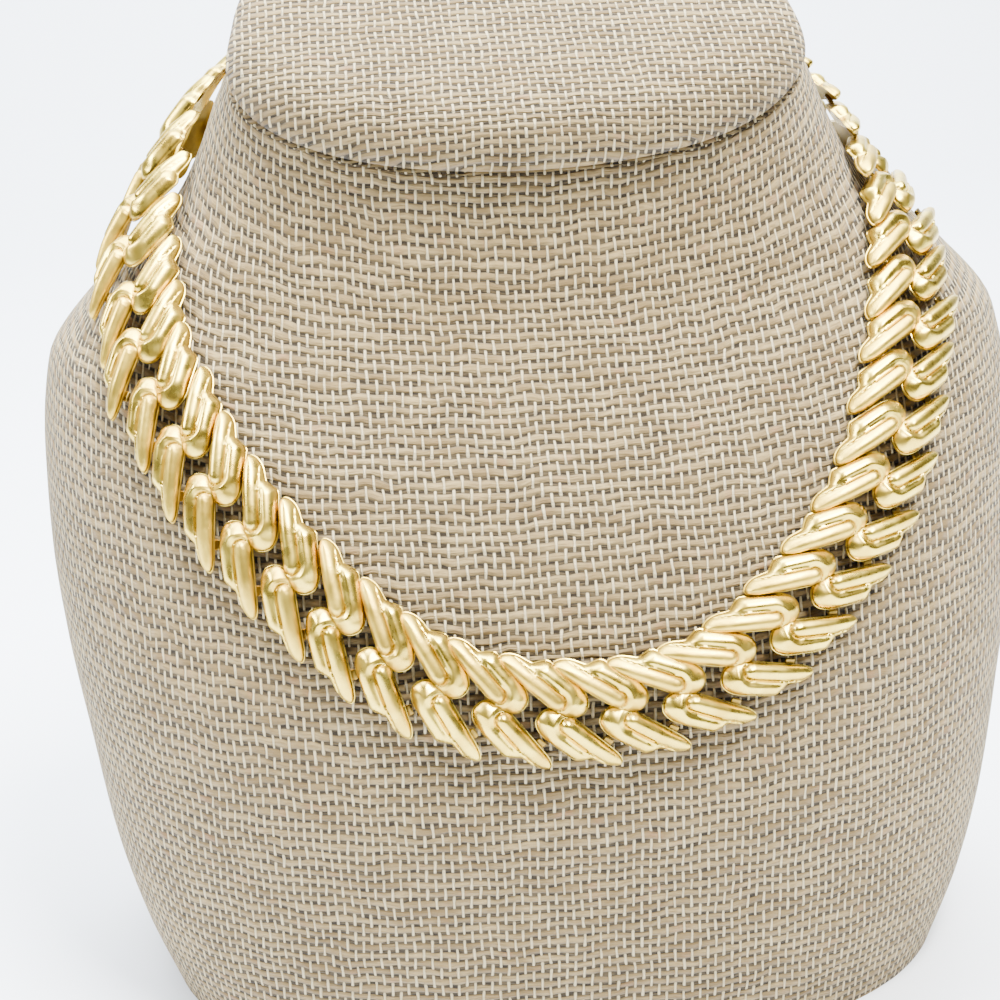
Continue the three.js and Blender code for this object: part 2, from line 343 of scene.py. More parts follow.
@dataclass(frozen=True)
class GoldFinish:
    """Satin gold-tone plating: polished crests, darker creases and matte outer lobes."""

    name: str = "satin_gold"
    bright: tuple[float, float, float, float] = (0.91, 0.67, 0.10, 1.0)
    warm: tuple[float, float, float, float] = (0.70, 0.47, 0.06, 1.0)
    tarnish: tuple[float, float, float, float] = (0.22, 0.135, 0.025, 1.0)
    grain_scale: float = 2600.0
    polish: float = 0.24
    satin: float = 0.35
    matte: float = 0.47

    def build(self, grain: bpy.types.NodeTree) -> bpy.types.Material:
        """Makes the material.

        Args:
            grain: The fine grain group.

        Returns:
            The gold material.
        """
        material = bpy.data.materials.new(self.name)
        material.use_nodes = True
        s = Shader(material.node_tree)
        surface = material.node_tree.nodes["Principled BSDF"]
        place = s.node("TexCoord").outputs["Object"]
        crest = s.node("Attribute", attribute_name="crest").outputs["Fac"]
        matte = s.node("Attribute", attribute_name="matte").outputs["Fac"]
        fine = s.node("Group", node_tree=grain)
        s.put(fine.inputs["Vector"], place)
        fine.inputs["Scale"].default_value = self.grain_scale
        cloudy = s.noise(place, 260.0, 3.0)
        tone = s.mix(s.span(cloudy, 0.35, 0.7), self.bright, self.warm)
        tone = s.mix(s.math("MULTIPLY", matte, 0.5), tone, self.warm)
        worn = s.span(s.math("ADD", crest, s.math("MULTIPLY", fine.outputs["Mask"], 0.06)), 0.0, 0.3)
        s.put(surface.inputs["Base Color"], s.mix(worn, self.tarnish, tone))
        rough = s.math("ADD", self.polish, s.math("MULTIPLY", fine.outputs["Mask"], self.satin - self.polish))
        rough = s.math("ADD", rough, s.math("MULTIPLY", matte, self.matte - self.satin))
        s.put(surface.inputs["Roughness"], rough)
        surface.inputs["Metallic"].default_value = 1.0
        bump = s.node("Bump")
        bump.inputs["Strength"].default_value = 0.35
        bump.inputs["Distance"].default_value = 0.00006
        hammered = s.noise(place, 700.0, 2.0)
        grainy = s.math("MULTIPLY", fine.outputs["Height"], s.math("ADD", 0.25, matte))
        s.put(bump.inputs["Height"], s.math("ADD", hammered, grainy))
        s.put(surface.inputs["Normal"], bump.outputs["Normal"])
        return material


@dataclass(frozen=True)
class BurlapFinish:
    """Natural burlap: thick jute weft rows and thin cream warp threads, with painted shade in the gaps between them.
    """

    name: str = "natural_burlap"
    uv_name: str = "cloth"
    warp_pitch: float = 1.33
    weft_pitch: float = 1.66
    warp_share: float = 0.32
    weft_share: float = 0.68
    cream: tuple[float, float, float, float] = (0.60, 0.495, 0.28, 1.0)
    jute_pale: tuple[float, float, float, float] = (0.345, 0.248, 0.108, 1.0)
    jute_dark: tuple[float, float, float, float] = (0.17, 0.112, 0.044, 1.0)
    russet: tuple[float, float, float, float] = (0.30, 0.15, 0.07, 1.0)
    # Painted shade between the threads: two dark tones, picked by the fibre streaks, stand in for the shade in the
    # gaps.
    gap_shade: tuple[float, float, float, float] = (0.018, 0.012, 0.005, 1.0)
    shaded: tuple[float, float, float, float] = (0.075, 0.052, 0.023, 1.0)

    def build(self, weave: bpy.types.NodeTree) -> bpy.types.Material:
        """Makes the material.

        Args:
            weave: The plain weave group.

        Returns:
            The burlap material, which reads the cloth's own UV map in millimetres.
        """
        material = bpy.data.materials.new(self.name)
        material.use_nodes = True
        s = Shader(material.node_tree)
        surface = material.node_tree.nodes["Principled BSDF"]
        place = s.node("TexCoord").outputs["Object"]
        cloth = s.node("UVMap", uv_map=self.uv_name).outputs["UV"]
        wander = s.node("TexNoise")
        s.put(wander.inputs["Vector"], place)
        wander.inputs["Scale"].default_value = 130.0
        wander.inputs["Detail"].default_value = 2.0
        shift = s.node("VectorMath", operation="MULTIPLY_ADD")
        s.put(shift.inputs[0], wander.outputs["Color"])
        shift.inputs[1].default_value = (0.9, 1.3, 0.0)
        counted = s.node("VectorMath", operation="DIVIDE")
        s.put(counted.inputs[0], cloth)
        counted.inputs[1].default_value = (self.warp_pitch, self.weft_pitch, 1.0)
        s.put(shift.inputs[2], counted.outputs[0])
        threads = s.node("Group", node_tree=weave)
        s.put(threads.inputs["Vector"], shift.outputs[0])
        slubs = s.node("VectorMath", operation="MULTIPLY")
        s.put(slubs.inputs[0], cloth)
        slubs.inputs[1].default_value = (0.16, 0.62, 1.0)
        swell = s.noise(slubs.outputs[0], 1.0, 2.0)
        s.put(threads.inputs["WeftShare"], s.span(swell, 0.3, 0.7, (self.weft_share - 0.17, self.weft_share + 0.15)))
        s.put(threads.inputs["WarpShare"], s.span(swell, 0.3, 0.7, (self.warp_share + 0.06, self.warp_share - 0.06)))

        fibres = s.node("VectorMath", operation="MULTIPLY")
        s.put(fibres.inputs[0], shift.outputs[0])
        fibres.inputs[1].default_value = (0.5, 5.0, 1.0)
        streaks = s.noise(fibres.outputs[0], 1.0, 4.0)
        yarn_place = s.node("CombineXYZ")
        split = s.node("SeparateXYZ")
        s.put(split.inputs[0], cloth)
        s.put(yarn_place.inputs["X"], s.math("MULTIPLY", split.outputs["X"], 0.09))
        s.put(yarn_place.inputs["Y"], s.math("MULTIPLY", threads.outputs["Row"], 3.7))
        yarn = s.noise(yarn_place.outputs[0], 1.0, 2.0)
        flecks = s.noise(yarn_place.outputs[0], 2.3, 1.0)

        jute = s.mix(s.span(yarn, 0.32, 0.66), self.jute_dark, self.jute_pale)
        jute = s.mix(s.math("MULTIPLY", s.span(flecks, 0.62, 0.74), 0.45), jute, self.russet)
        streaked = s.math("MULTIPLY", s.span(streaks, 0.38, 0.64), 0.62)
        jute = s.mix(streaked, jute, self.jute_dark)
        thread = s.mix(threads.outputs["Warp"], jute, self.cream)
        # Painted shade: where the threads part, the colour goes near black instead of the cloth's own tone.
        depth = s.mix(s.span(streaks, 0.4, 0.6), self.gap_shade, self.shaded)
        s.put(surface.inputs["Base Color"], s.mix(threads.outputs["GapShade"], thread, depth))
        surface.inputs["Roughness"].default_value = 0.93
        surface.inputs["Specular IOR Level"].default_value = 0.2
        surface.inputs["Sheen Weight"].default_value = 0.15
        fuzz = s.math("MULTIPLY", streaks, 0.4)
        bump = s.node("Bump")
        bump.inputs["Strength"].default_value = 1.0
        bump.inputs["Distance"].default_value = 0.0009
        s.put(bump.inputs["Height"], s.math("ADD", threads.outputs["Height"], fuzz))
        s.put(surface.inputs["Normal"], bump.outputs["Normal"])
        return material


@dataclass(frozen=True)
class PlainFinish:
    """Matt paper for the floor and the wall behind."""

    name: str
    colour: tuple[float, float, float, float]

    def build(self) -> bpy.types.Material:
        """Makes the material with a faint mottle."""
        material = bpy.data.materials.new(self.name)
        material.use_nodes = True
        s = Shader(material.node_tree)
        surface = material.node_tree.nodes["Principled BSDF"]
        mottle = s.noise(s.node("TexCoord").outputs["Object"], 9.0, 3.0)
        darker = tuple(value * 0.97 for value in self.colour[:3]) + (1.0,)
        s.put(surface.inputs["Base Color"], s.mix(mottle, self.colour, darker))
        surface.inputs["Roughness"].default_value = 0.85
        return material


# --------------------------------------------------------------------------- pieces


def finish_piece(
    name: str, mesh: bpy.types.Mesh, material: bpy.types.Material, nodes: tuple[str, ...]
) -> bpy.types.Object:
    """Adds a finished mesh to the scene, hangs it on the body's empty and hides the nodes it stands for.

    Args:
        name: The piece's name.
        mesh: Its mesh, in place and in metres.
        material: Its finish.
        nodes: The frame's nodes that it stands for.

    Returns:
        The new object.
    """
    mesh.name = name
    mesh.materials.clear()
    mesh.materials.append(material)
    piece = bpy.data.objects.new(name, mesh)
    bpy.context.scene.collection.objects.link(piece)
    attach(piece, BODY)
    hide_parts(*nodes)
    log.info("%s: %d faces", name, len(mesh.polygons))
    return piece


def mark_edges(bm: bmesh.types.BMesh, angle: float) -> None:
    """Smooths all faces and keeps the edges over an angle sharp.

    Args:
        bm: The mesh.
        angle: Least angle of a sharp edge, in degrees.
    """
    for face in bm.faces:
        face.smooth = True
    limit = math.radians(angle)
    for edge in bm.edges:
        edge.smooth = len(edge.link_faces) == 2 and edge.calc_face_angle(0.0) < limit


@dataclass
class LinkSeat:
    """Where a link lies: its own axes, worked out from how its node's surface is spread.

    A link looks the same after half a turn about its Z axis, so that axis is one of the
    spread's main axes, and the other two lie in the band at a fixed angle to it.
    """

    axis: Vector
    long_axis_turn: float = math.radians(47.344)
    middle_height: float = 0.178

    def from_node(self, node: bpy.types.Object) -> Matrix:
        """Frame of a link's node.

        Args:
            node: The link's node.

        Returns:
            The matrix from the link's own millimetres to the frame's metres.
        """
        mesh = node.data
        mesh.calc_loop_triangles()
        corners = np.array([v.co for v in mesh.vertices])[
            np.array([t.vertices[:] for t in mesh.loop_triangles])
        ]
        sides = np.cross(corners[:, 1] - corners[:, 0], corners[:, 2] - corners[:, 0])
        area = np.linalg.norm(sides, axis=1) / 2
        centres = corners.mean(axis=1)
        middle = (centres * area[:, None]).sum(axis=0) / area.sum()
        spread = np.zeros((3, 3))
        for k in range(3):
            arm = corners[:, k] - middle
            spread += np.einsum("n,ni,nj->ij", area / 12, arm, arm)
        arm = centres - middle
        spread += np.einsum("n,ni,nj->ij", area * 0.75, arm, arm)
        _, axes = np.linalg.eigh(spread)
        out, long_axis = Vector(axes[:, 0]), Vector(axes[:, 2])
        away = Vector(middle) - self.axis
        if out.dot(Vector((away.x, away.y, 0))) < 0:
            out.negate()
        along = Matrix.Rotation(self.long_axis_turn, 3, out) @ long_axis
        neckward = out.cross(along)
        origin = Vector(middle) - out * self.middle_height * MM
        turn = Matrix((along * MM, neckward * MM, out * MM)).transposed()
        return Matrix.Translation(origin) @ turn.to_4x4()


@dataclass
class Petal:
    """One slanted petal of a link, in millimetres.

    Places on it are measured from the round end along its axis, and across to the short lobe.
    """

    length: float = 14.9
    angle: float = math.radians(38.5)
    round_end: tuple[float, float] = (3.14, -0.03)
    crown: float = 1.7
    crown_reach: float = 8.0
    outline: Table = Table(
        ("along", "left", "right"),
        (
            (0.0, 0.10, 0.55),
            (0.12, -0.45, 1.15),
            (0.45, -1.05, 1.70),
            (1.1, -1.62, 2.20),
            (2.0, -2.10, 2.55),
            (2.7, -2.22, 2.68),
            (3.4, -2.40, 2.72),
            (5.0, -2.45, 2.72),
            (8.7, -2.45, 2.66),
            (9.3, -2.45, 2.40),
            (9.9, -2.44, 1.72),
            (10.7, -2.43, 0.80),
            (11.3, -2.42, 0.66),
            (12.7, -2.38, 0.36),
            (13.6, -2.28, -0.02),
            (14.3, -2.08, -0.52),
            (14.7, -1.86, -0.95),
            (14.9, -1.55, -1.35),
        ),
    )
    rim_height: float = 0.5
    dome: float = 1.75
    long_lobe_start: tuple[float, float] = (4.35, -1.13)
    long_lobe_end: tuple[float, float] = (14.6, -1.35)
    long_lobe_radius: float = 1.3
    valley_depth: float = 0.42
    thumb_depth: float = 0.66
    rows: int = 84
    columns: int = 30

    def crease_profile(self) -> Table:
        """Height share on the short lobe by the distance from the long lobe's edge."""
        return Table(
            ("off", "share"),
            ((0.0, 0.60), (0.14, 0.80), (0.34, 0.86), (0.52, 0.82), (1.05, 1.0), (6.0, 1.0)),
        )

    def border(self) -> np.ndarray:
        """The outline as a closed list of points, for measuring distances to it."""
        stations = np.linspace(0, 1, 60)
        alongs = [self.length * (1 - math.cos(math.pi * t)) / 2 for t in stations]
        left = [(a, self.outline.at("left", a)) for a in alongs]
        right = [(a, self.outline.at("right", a)) for a in alongs]
        return np.array(left + right[::-1])

    @staticmethod
    def distance(point: tuple[float, float], border: np.ndarray) -> float:
        """Distance from a point to a closed outline.

        Args:
            point: The point.
            border: Corners of the outline.

        Returns:
            The shortest distance.
        """
        start = border
        step = np.roll(border, -1, axis=0) - start
        off = np.array(point) - start
        length = np.maximum((step**2).sum(axis=1), 1e-12)
        share = np.clip((off * step).sum(axis=1) / length, 0, 1)
        return float(np.sqrt(((off - step * share[:, None]) ** 2).sum(axis=1)).min())

    def relief(self, along: float, across: float, inside: float) -> tuple[float, float]:
        """Height over the rim, and how far up its lobe a point lies.

        Args:
            along: Distance from the round end.
            across: Distance to the short lobe's side.
            inside: Distance from the outline.

        Returns:
            The height over the rim, and a share from 0 in a crease to 1 on a crest.
        """
        (x0, y0), (x1, y1) = self.long_lobe_start, self.long_lobe_end
        share = ((along - x0) * (x1 - x0) + (across - y0) * (y1 - y0)) / ((x1 - x0) ** 2 + (y1 - y0) ** 2)
        share = min(1.0, max(0.0, share))
        off = math.hypot(along - x0 - share * (x1 - x0), across - y0 - share * (y1 - y0))
        off -= self.long_lobe_radius
        near_thumb = 1 - smoothstep(3.6, 6.0, along)
        depth = self.valley_depth + (self.thumb_depth - self.valley_depth) * near_thumb
        if off < 0:
            place = 1 + off / self.long_lobe_radius
            fall = 1 - math.sqrt(max(0.0, 1 - place * place))
            side = 1.0 if across < y0 and along > x0 else depth
            crease = 1 - fall * (depth if side == depth else 0.25)
        else:
            crease = self.crease_profile().at("share", off)
            crease -= 0.25 * near_thumb * max(0.0, 1 - off / 0.5)
        width = 1.45 + 1.35 * (1 - smoothstep(1.6, 4.4, along))
        power = 2.1 - 0.7 * (1 - smoothstep(1.6, 4.4, along))
        slope = 1 - min(1.0, inside / width)
        edge = max(0.0, 1 - slope**power) ** (1 / power)
        taper = 1 - 0.30 * smoothstep(9.5, self.length, along)
        return self.dome * edge * crease * taper, edge * (crease - 0.3) / 0.7

    def place(self, along: float, across: float, height: float) -> Vector:
        """Turns a petal place to the link's own axes and drops it with the band's crown."""
        cosine, sine = math.cos(self.angle), math.sin(self.angle)
        x = self.round_end[0] - along * cosine + across * sine
        y = self.round_end[1] + along * sine + across * cosine
        return Vector((x, y, height - self.crown * (y / self.crown_reach) ** 2))

    def build(self, matte: float) -> bmesh.types.BMesh:
        """Builds the petal: a relief over a grid, then a wall with a thin rim and a back.

        Args:
            matte: How matte its long lobe is, from 0 to 1.

        Returns:
            The petal's closed mesh with its crest and matte layers.
        """
        bm = bmesh.new()
        crest_layer = bm.verts.layers.float.new("crest")
        matte_layer = bm.verts.layers.float.new("matte")
        bmesh.ops.create_grid(bm, x_segments=self.rows, y_segments=self.columns, size=0.5)
        border = self.border()
        flat: dict[bmesh.types.BMVert, tuple[float, float]] = {}
        for vert in bm.verts:
            turn = (vert.co.x + 0.5) * math.pi
            along = self.length * (0.35 * (1 - math.cos(turn)) / 2 + 0.65 * (vert.co.x + 0.5))
            across_share = (1 + math.sin(math.pi * vert.co.y)) / 2
            left, right = self.outline.at("left", along), self.outline.at("right", along)
            across = left + (right - left) * across_share
            flat[vert] = (along, across)
            height, crest = self.relief(along, across, self.distance((along, across), border))
            vert[crest_layer] = crest
            vert[matte_layer] = matte * (1 - smoothstep(-0.3, 0.3, across))
            vert.co = self.place(along, across, self.rim_height + height)
        bmesh.ops.recalc_face_normals(bm, faces=bm.faces)
        if bm.faces[0].normal.z < 0:
            bmesh.ops.reverse_faces(bm, faces=bm.faces)
        ring = [edge for edge in bm.edges if edge.is_boundary]
        for outset, height in ((0.0, 0.24), (0.11, 0.20), (0.11, 0.0)):
            ring = self.wall(bm, ring, flat, outset, height, crest_layer)
        bmesh.ops.holes_fill(bm, edges=ring, sides=0)
        back = [face for face in bm.faces if len(face.verts) > 4]
        bmesh.ops.triangulate(bm, faces=back)
        bmesh.ops.remove_doubles(bm, verts=bm.verts, dist=0.003)
        return bm

    def wall(
        self,
        bm: bmesh.types.BMesh,
        ring: list[bmesh.types.BMEdge],
        flat: dict[bmesh.types.BMVert, tuple[float, float]],
        outset: float,
        height: float,
        crest_layer: bmesh.types.BMLayerItem,
    ) -> list[bmesh.types.BMEdge]:
        """Adds one step of the wall below a ring of edges.

        Args:
            bm: The petal's mesh.
            ring: The lowest ring so far.
            flat: Petal places of the grid's corners, which the new corners join.
            outset: How far the new ring stands out from the outline.
            height: Height of the new ring.
            crest_layer: Layer that holds how worn a corner is.

        Returns:
            The new lowest ring.
        """
        made = bmesh.ops.extrude_edge_only(bm, edges=ring)["geom"]
        fresh = {item for item in made if isinstance(item, bmesh.types.BMVert)}
        for vert in fresh:
            old = next(
                other
                for other in (edge.other_vert(vert) for edge in vert.link_edges)
                if other in flat and other not in fresh
            )
            along, across = flat[old]
            centre = min(max(along, 2.6), self.length - 2.0)
            away = Vector((along - centre, across + (1.4 if along > 11 else 0.0)))
            away = away.normalized() if away.length > 1e-6 else Vector((0, 0))
            flat[vert] = (along, across)
            vert.co = self.place(along + away.x * outset, across + away.y * outset, height)
            vert[crest_layer] = 0.12 if outset else 0.25
        return [item for item in made if isinstance(item, bmesh.types.BMEdge) and item.is_boundary]


@dataclass
class Link:
    """A cast link: an inner petal, the same petal turned half a turn, and their lugs."""

    petal: Petal = field(default_factory=Petal)
    lug_near: float = 10.0
    lug_far: float = 11.6
    lug_inner: float = -1.2
    lug_outer: float = -3.4
    lug_low: float = -0.55
    lug_high: float = 0.05

    def lug(self) -> bmesh.types.BMesh:
        """The rounded tab under the long lobe, which reaches into the next link.

        Returns:
            The tab's closed mesh.
        """
        bm = bmesh.new()
        bmesh.ops.create_cube(bm, size=1.0)
        edges = [edge for edge in bm.edges]
        bmesh.ops.bevel(
            bm, geom=edges, offset=0.16, segments=2, profile=0.5, affect="EDGES", material=-1
        )
        for vert in bm.verts:
            along = self.lug_near + (vert.co.x + 0.5) * (self.lug_far - self.lug_near)
            across = self.lug_outer + (vert.co.y + 0.5) * (self.lug_inner - self.lug_outer)
            height = self.lug_low + (vert.co.z + 0.5) * (self.lug_high - self.lug_low)
            vert.co = self.petal.place(along, across, height)
        bmesh.ops.recalc_face_normals(bm, faces=bm.faces)
        return bm

    def build(self) -> bpy.types.Mesh:
        """Joins the petals and lugs of one link in its own axes.

        Returns:
            The link's mesh in millimetres.
        """
        whole = bpy.data.meshes.new("link_pattern")
        bm = bmesh.new()
        for turn, matte in ((0.0, 0.0), (math.pi, 1.0)):
            for part in (self.petal.build(matte), self.lug()):
                bmesh.ops.transform(part, matrix=Matrix.Rotation(turn, 4, "Z"), verts=part.verts)
                piece = bpy.data.meshes.new("part")
                part.to_mesh(piece)
                part.free()
                bm.from_mesh(piece)
                bpy.data.meshes.remove(piece)
        mark_edges(bm, 48.0)
        bm.to_mesh(whole)
        bm.free()
        return whole


@dataclass
class Collar:
    """The closed ring of links with its clasp."""

    link: Link = field(default_factory=Link)
    clasp_bevel: float = 0.7

    def build(self, gold: bpy.types.Material, axis: Vector) -> None:
        """Puts a finished link on each link node and a finished clasp on the clasp node.

        Args:
            gold: The gold finish.
            axis: A point on the bust's upright axis.
        """
        pattern = self.link.build()
        seat = LinkSeat(axis)
        names = sorted(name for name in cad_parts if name.startswith("link_"))
        for name in names:
            mesh = pattern.copy()
            mesh.transform(seat.from_node(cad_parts[name]))
            finish_piece(name.replace("link", "collar_link"), mesh, gold, (name,))
        bpy.data.meshes.remove(pattern)
        self.clasp(gold)

    def clasp(self, gold: bpy.types.Material) -> bpy.types.Object:
        """The plain box clasp with rounded edges.

        Args:
            gold: The gold finish.

        Returns:
            The clasp.
        """
        bm = bmesh.new()
        bm.from_mesh(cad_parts["clasp"].data)
        bmesh.ops.remove_doubles(bm, verts=bm.verts, dist=0.00001)
        bmesh.ops.dissolve_limit(bm, angle_limit=math.radians(2), verts=bm.verts, edges=bm.edges)
        edges = [edge for edge in bm.edges if edge.calc_face_angle(0.0) > math.radians(20)]
        bmesh.ops.bevel(
            bm,
            geom=edges,
            offset=self.clasp_bevel * MM,
            segments=4,
            profile=0.5,
            affect="EDGES",
            material=-1,
        )
        for face in bm.faces:
            face.smooth = True
        layer = bm.verts.layers.float.new("crest")
        for vert in bm.verts:
            vert[layer] = 0.9
        mesh = bpy.data.meshes.new("clasp_box")
        bm.to_mesh(mesh)
        bm.free()
        return finish_piece("collar_clasp", mesh, gold, ("clasp",))


@dataclass
class NeckBust:
    """The cloth-covered neck form: a lofted body, a slanted crease and a padded cap."""

    sections: Table = Table(
        ("height", "half_width", "front", "back", "front_round", "back_round"),
        (
            (0, 71, 58, 34, 2.6, 2.6),
            (14, 75.5, 61, 35, 2.6, 2.6),
            (30, 79, 63, 36, 2.55, 2.6),
            (47, 81, 64.5, 37, 2.5, 2.6),
            (64, 83, 63.5, 38, 2.45, 2.7),
            (80, 84, 59, 39, 2.4, 2.8),
            (96, 83.5, 51.5, 41, 2.42, 3.0),
            (110, 81.5, 42, 42, 2.32, 3.2),
            (122, 72, 34.5, 42, 2.1, 3.0),
            (134, 58.5, 32, 40, 2.0, 2.4),
            (142, 53.5, 33, 38.5, 2.0, 2.1),
            (150, 50, 34, 38, 2.0, 2.0),
            (159, 46, 35.5, 38, 2.0, 2.0),
            (182, 45, 37, 38, 2.0, 2.0),
        ),
    )
    crease_front: float = 139.5
    crease_slope: float = 0.56
    crease_reach: float = 33.0
    cap: Table = Table(
        ("path", "rise", "share", "forward"),
        (
            (0.0, 0.0, 0.965, -0.3),
            (0.6, 0.4, 0.982, 0.9),
            (3.3, 3.0, 1.0, 1.4),
            (6.4, 6.0, 0.975, 1.2),
            (9.4, 8.2, 0.92, 0.9),
            (12.8, 9.4, 0.83, 0.6),
            (18.7, 10.2, 0.67, 0.3),
            (28.4, 10.8, 0.4, 0.0),
            (42.0, 11.0, 0.02, 0.0),
        ),
    )
    axis_front: float = 64.5
    columns: int = 260
    body_rows: int = 110
    cap_rows: int = 56

    def reach(self, azimuth: float, height: float) -> Vector:
        """Point of the body at an azimuth from the front and a height.

        Args:
            azimuth: Angle from the front, in radians.
            height: Height over the base.

        Returns:
            The point, measured from the bust's own axis.
        """
        half_width = self.sections.at("half_width", height)
        side = "front" if math.cos(azimuth) > 0 else "back"
        power = self.sections.at(side + "_round", height)
        depth = self.sections.at(side, height)
        across = abs(math.sin(azimuth)) / half_width
        along = abs(math.cos(azimuth)) / depth
        out = (across**power + along**power) ** (-1 / power)
        return Vector((out * math.sin(azimuth), -out * math.cos(azimuth), height))

    def crease_point(self, azimuth: float) -> Vector:
        """Point of the slanted crease at an azimuth."""
        point = self.reach(azimuth, self.crease_front)
        for _ in range(8):
            height = self.crease_front + self.crease_slope * (point.y + self.crease_reach)
            point = self.reach(azimuth, height)
        return point

    def build(self, burlap: bpy.types.Material) -> bpy.types.Object:
        """Builds the bust as one grid that is wrapped round, closed above and below.

        Args:
            burlap: The cloth's finish.

        Returns:
            The bust.
        """
        low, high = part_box("neck_bust")
        rows = self.body_rows + self.cap_rows
        bm = bmesh.new()
        bmesh.ops.create_grid(bm, x_segments=self.columns, y_segments=rows, size=0.5)
        creases = [self.crease_point(2 * math.pi * k / self.columns - math.pi) for k in range(self.columns + 1)]
        centre = sum(creases[:-1], Vector()) / self.columns
        lean = Vector((0, -self.crease_slope, 1)).normalized()
        places: dict[tuple[int, int], Vector] = {}
        for vert in bm.verts:
            column = round((vert.co.x + 0.5) * self.columns)
            row = round((vert.co.y + 0.5) * rows)
            azimuth = 2 * math.pi * column / self.columns - math.pi
            seam = creases[column]
            if row <= self.body_rows:
                point = self.reach(azimuth, seam.z * row / self.body_rows)
            else:
                path = self.cap.rows[-1][0] * ((row - self.body_rows) / self.cap_rows) ** 1.3
                point = (seam - centre) * self.cap.at("share", path) + centre
                point += lean * self.cap.at("rise", path)
                point.y -= self.cap.at("forward", path)
            places[(column, row)] = point
            vert.co = point
        self.unwrap(bm, places, rows)
        bmesh.ops.remove_doubles(bm, verts=bm.verts, dist=0.01)
        rim = [edge for edge in bm.edges if edge.is_boundary]
        bmesh.ops.holes_fill(bm, edges=rim, sides=0)
        bmesh.ops.recalc_face_normals(bm, faces=bm.faces)
        shift = Vector(((low.x + high.x) / 2, low.y + self.axis_front * MM, low.z))
        bmesh.ops.transform(
            bm, matrix=Matrix.Translation(shift) @ Matrix.Scale(MM, 4), verts=bm.verts
        )
        mark_edges(bm, 60.0)
        mesh = bpy.data.meshes.new("bust_form")
        bm.to_mesh(mesh)
        bm.free()
        return finish_piece("bust_cloth", mesh, burlap, ("neck_bust",))

    def unwrap(
        self, bm: bmesh.types.BMesh, places: dict[tuple[int, int], Vector], rows: int
    ) -> None:
        """Lays the cloth's threads: warps by the arc from the front, wefts by the rise.

        Args:
            bm: The bust's grid, before its sides are joined.
            places: Points by column and row.
            rows: Rows of the grid.
        """
        layer = bm.loops.layers.uv.new("cloth")
        arcs: dict[tuple[int, int], float] = {}
        front = self.columns // 2
        for row in range(rows + 1):
            total = 0.0
            arcs[(0, row)] = 0.0
            for column in range(1, self.columns + 1):
                total += (places[(column, row)] - places[(column - 1, row)]).length
                arcs[(column, row)] = total
            middle = arcs[(front, row)]
            for column in range(self.columns + 1):
                arcs[(column, row)] -= middle
        climb = [0.0]
        for row in range(1, self.body_rows + 1):
            step = places[(front, row)] - places[(front, row - 1)]
            climb.append(climb[-1] + step.length)
        seam_front = places[(front, self.body_rows)]
        slant = math.hypot(1.0, self.crease_slope)
        keys = {vert: key for vert, key in zip(bm.verts, places)}
        for face in bm.faces:
            on_cap = min(keys[vert][1] for vert in face.verts) >= self.body_rows
            for loop in face.loops:
                column, row = keys[loop.vert]
                if on_cap:
                    back = places[(column, row)] - seam_front
                    inward = (back.y + self.crease_slope * back.z) / slant
                    rise = (back.z - self.crease_slope * back.y) / slant
                    loop[layer].uv = (places[(column, row)].x, climb[-1] + inward + rise)
                else:
                    loop[layer].uv = (arcs[(column, row)], climb[row])


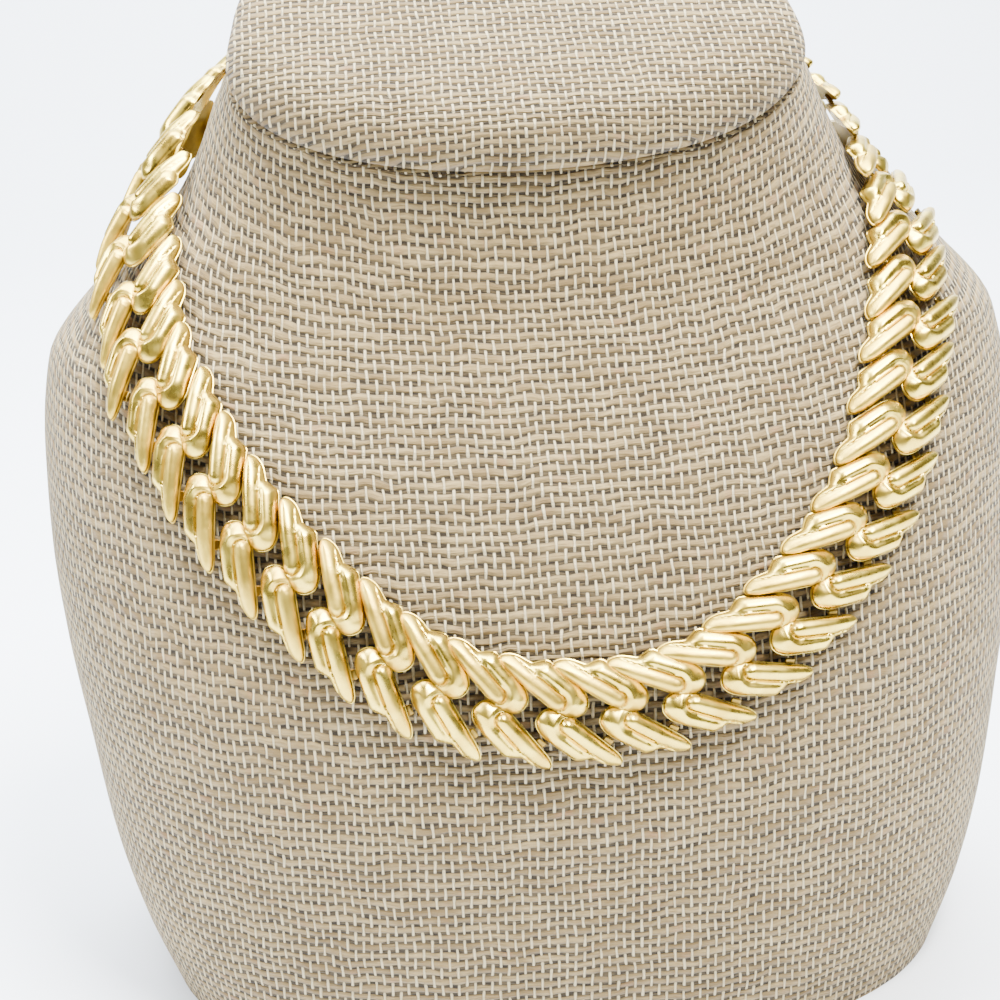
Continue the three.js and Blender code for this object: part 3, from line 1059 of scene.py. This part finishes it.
@dataclass
class Studio:
    """The pale floor and wall, the soft lights and the camera."""

    floor_size: float = 3.0
    wall_distance: float = 0.75
    sweep_radius: float = 0.35
    paper: PlainFinish = PlainFinish("pale_paper", (0.90, 0.93, 0.98, 1.0))
    camera_yaw: float = math.radians(-3.69)
    camera_pitch: float = math.radians(17.95)
    camera_roll: float = math.radians(2.83)
    camera_distance: float = 0.3193
    camera_lens: float = 66.36
    target_side: float = -0.00643
    target_height: float = 0.08107

    def sweep(self) -> bpy.types.Object:
        """The floor that bends up into the wall behind.

        Returns:
            The backdrop.
        """
        bm = bmesh.new()
        start = bm.verts.new((-self.floor_size, -self.floor_size, 0))
        floor_end = bm.verts.new((-self.floor_size, self.wall_distance, 0))
        edges = [bm.edges.new((start, floor_end))]
        bend = bmesh.ops.spin(
            bm,
            geom=[floor_end],
            cent=(0, self.wall_distance, self.sweep_radius),
            axis=(1, 0, 0),
            angle=math.pi / 2,
            steps=24,
        )
        tip = next(item for item in bend["geom_last"] if isinstance(item, bmesh.types.BMVert))
        top = bm.verts.new((-self.floor_size, tip.co.y, self.floor_size))
        bm.edges.new((tip, top))
        edges = list(bm.edges)
        made = bmesh.ops.extrude_edge_only(bm, edges=edges)["geom"]
        fresh = [item for item in made if isinstance(item, bmesh.types.BMVert)]
        bmesh.ops.translate(bm, vec=(2 * self.floor_size, 0, 0), verts=fresh)
        for face in bm.faces:
            face.smooth = True
        mesh = bpy.data.meshes.new("backdrop")
        bm.to_mesh(mesh)
        bm.free()
        mesh.materials.append(self.paper.build())
        backdrop = bpy.data.objects.new("backdrop", mesh)
        bpy.context.scene.collection.objects.link(backdrop)
        return backdrop

    def light(
        self,
        name: str,
        place: Vector,
        target: Vector,
        size: float,
        power: float,
        colour: tuple[float, float, float],
    ) -> None:
        """Adds a square area light.

        Args:
            name: The light's name.
            place: Where it stands.
            target: What it faces.
            size: Its side.
            power: Its power in watts.
            colour: Its colour.
        """
        lamp = bpy.data.lights.new(name, "AREA")
        lamp.size = size
        lamp.energy = power
        lamp.color = colour
        light = bpy.data.objects.new(name, lamp)
        light.location = place
        aim = target - place
        light.rotation_euler = aim.to_track_quat("-Z", "Y").to_euler()
        bpy.context.scene.collection.objects.link(light)

    def lights(self) -> None:
        """Soft window light from above and the right, with a fill and a pale room."""
        front, wall = Vector((0, 0, 0.09)), Vector((0, self.wall_distance, 0.1))
        self.light("key_window", Vector((0.22, -0.30, 0.85)), front, 0.30, 31.0, (1.0, 0.99, 0.96))
        self.light("left_window", Vector((-0.60, -0.10, 0.60)), front, 0.30, 11.0, (0.94, 0.97, 1.0))
        self.light("wall_wash", Vector((0.0, 0.35, 1.1)), wall, 0.9, 75.0, (0.88, 0.94, 1.0))
        world = bpy.data.worlds.new("pale_room")
        world.use_nodes = True
        world.node_tree.nodes["Background"].inputs["Color"].default_value = (0.93, 0.95, 1.0, 1.0)
        world.node_tree.nodes["Background"].inputs["Strength"].default_value = 0.2
        bpy.context.scene.world = world

    def camera(self) -> bpy.types.Object:
        """The camera, raised a little and turned to the collar's front.

        Returns:
            The scene's camera.
        """
        cosine, sine = math.cos(self.camera_yaw), math.sin(self.camera_yaw)
        right = Vector((cosine, sine, 0))
        level = Vector((-sine, cosine, 0))
        up = Vector((0, 0, 1))
        forward = level * math.cos(self.camera_pitch) - up * math.sin(self.camera_pitch)
        down = -level * math.sin(self.camera_pitch) - up * math.cos(self.camera_pitch)
        rolled_right = right * math.cos(self.camera_roll) + down * math.sin(self.camera_roll)
        rolled_down = down * math.cos(self.camera_roll) - right * math.sin(self.camera_roll)
        target = right * self.target_side + up * self.target_height
        lens = bpy.data.cameras.new("camera")
        lens.lens = self.camera_lens
        lens.sensor_width = 36.0
        lens.clip_start = 0.01
        camera = bpy.data.objects.new("camera", lens)
        turn = Matrix((rolled_right, -rolled_down, -forward)).transposed().to_4x4()
        camera.matrix_world = Matrix.Translation(target - forward * self.camera_distance) @ turn
        bpy.context.scene.collection.objects.link(camera)
        bpy.context.scene.camera = camera
        return camera

    def build(self) -> None:
        """Builds the whole stage."""
        self.camera()
        self.sweep()
        self.lights()


def main() -> None:
    """Builds the stage, the bust and the collar, in that order."""
    logging.basicConfig(level=logging.INFO, format="%(name)s %(message)s")
    Studio().build()
    bust = NeckBust()
    bust.build(BurlapFinish().build(weave_group()))
    low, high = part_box("neck_bust")
    axis = Vector(((low.x + high.x) / 2, low.y + bust.axis_front * MM, 0))
    Collar().build(GoldFinish().build(grain_group()), axis)


if __name__ == "__main__":
    main()
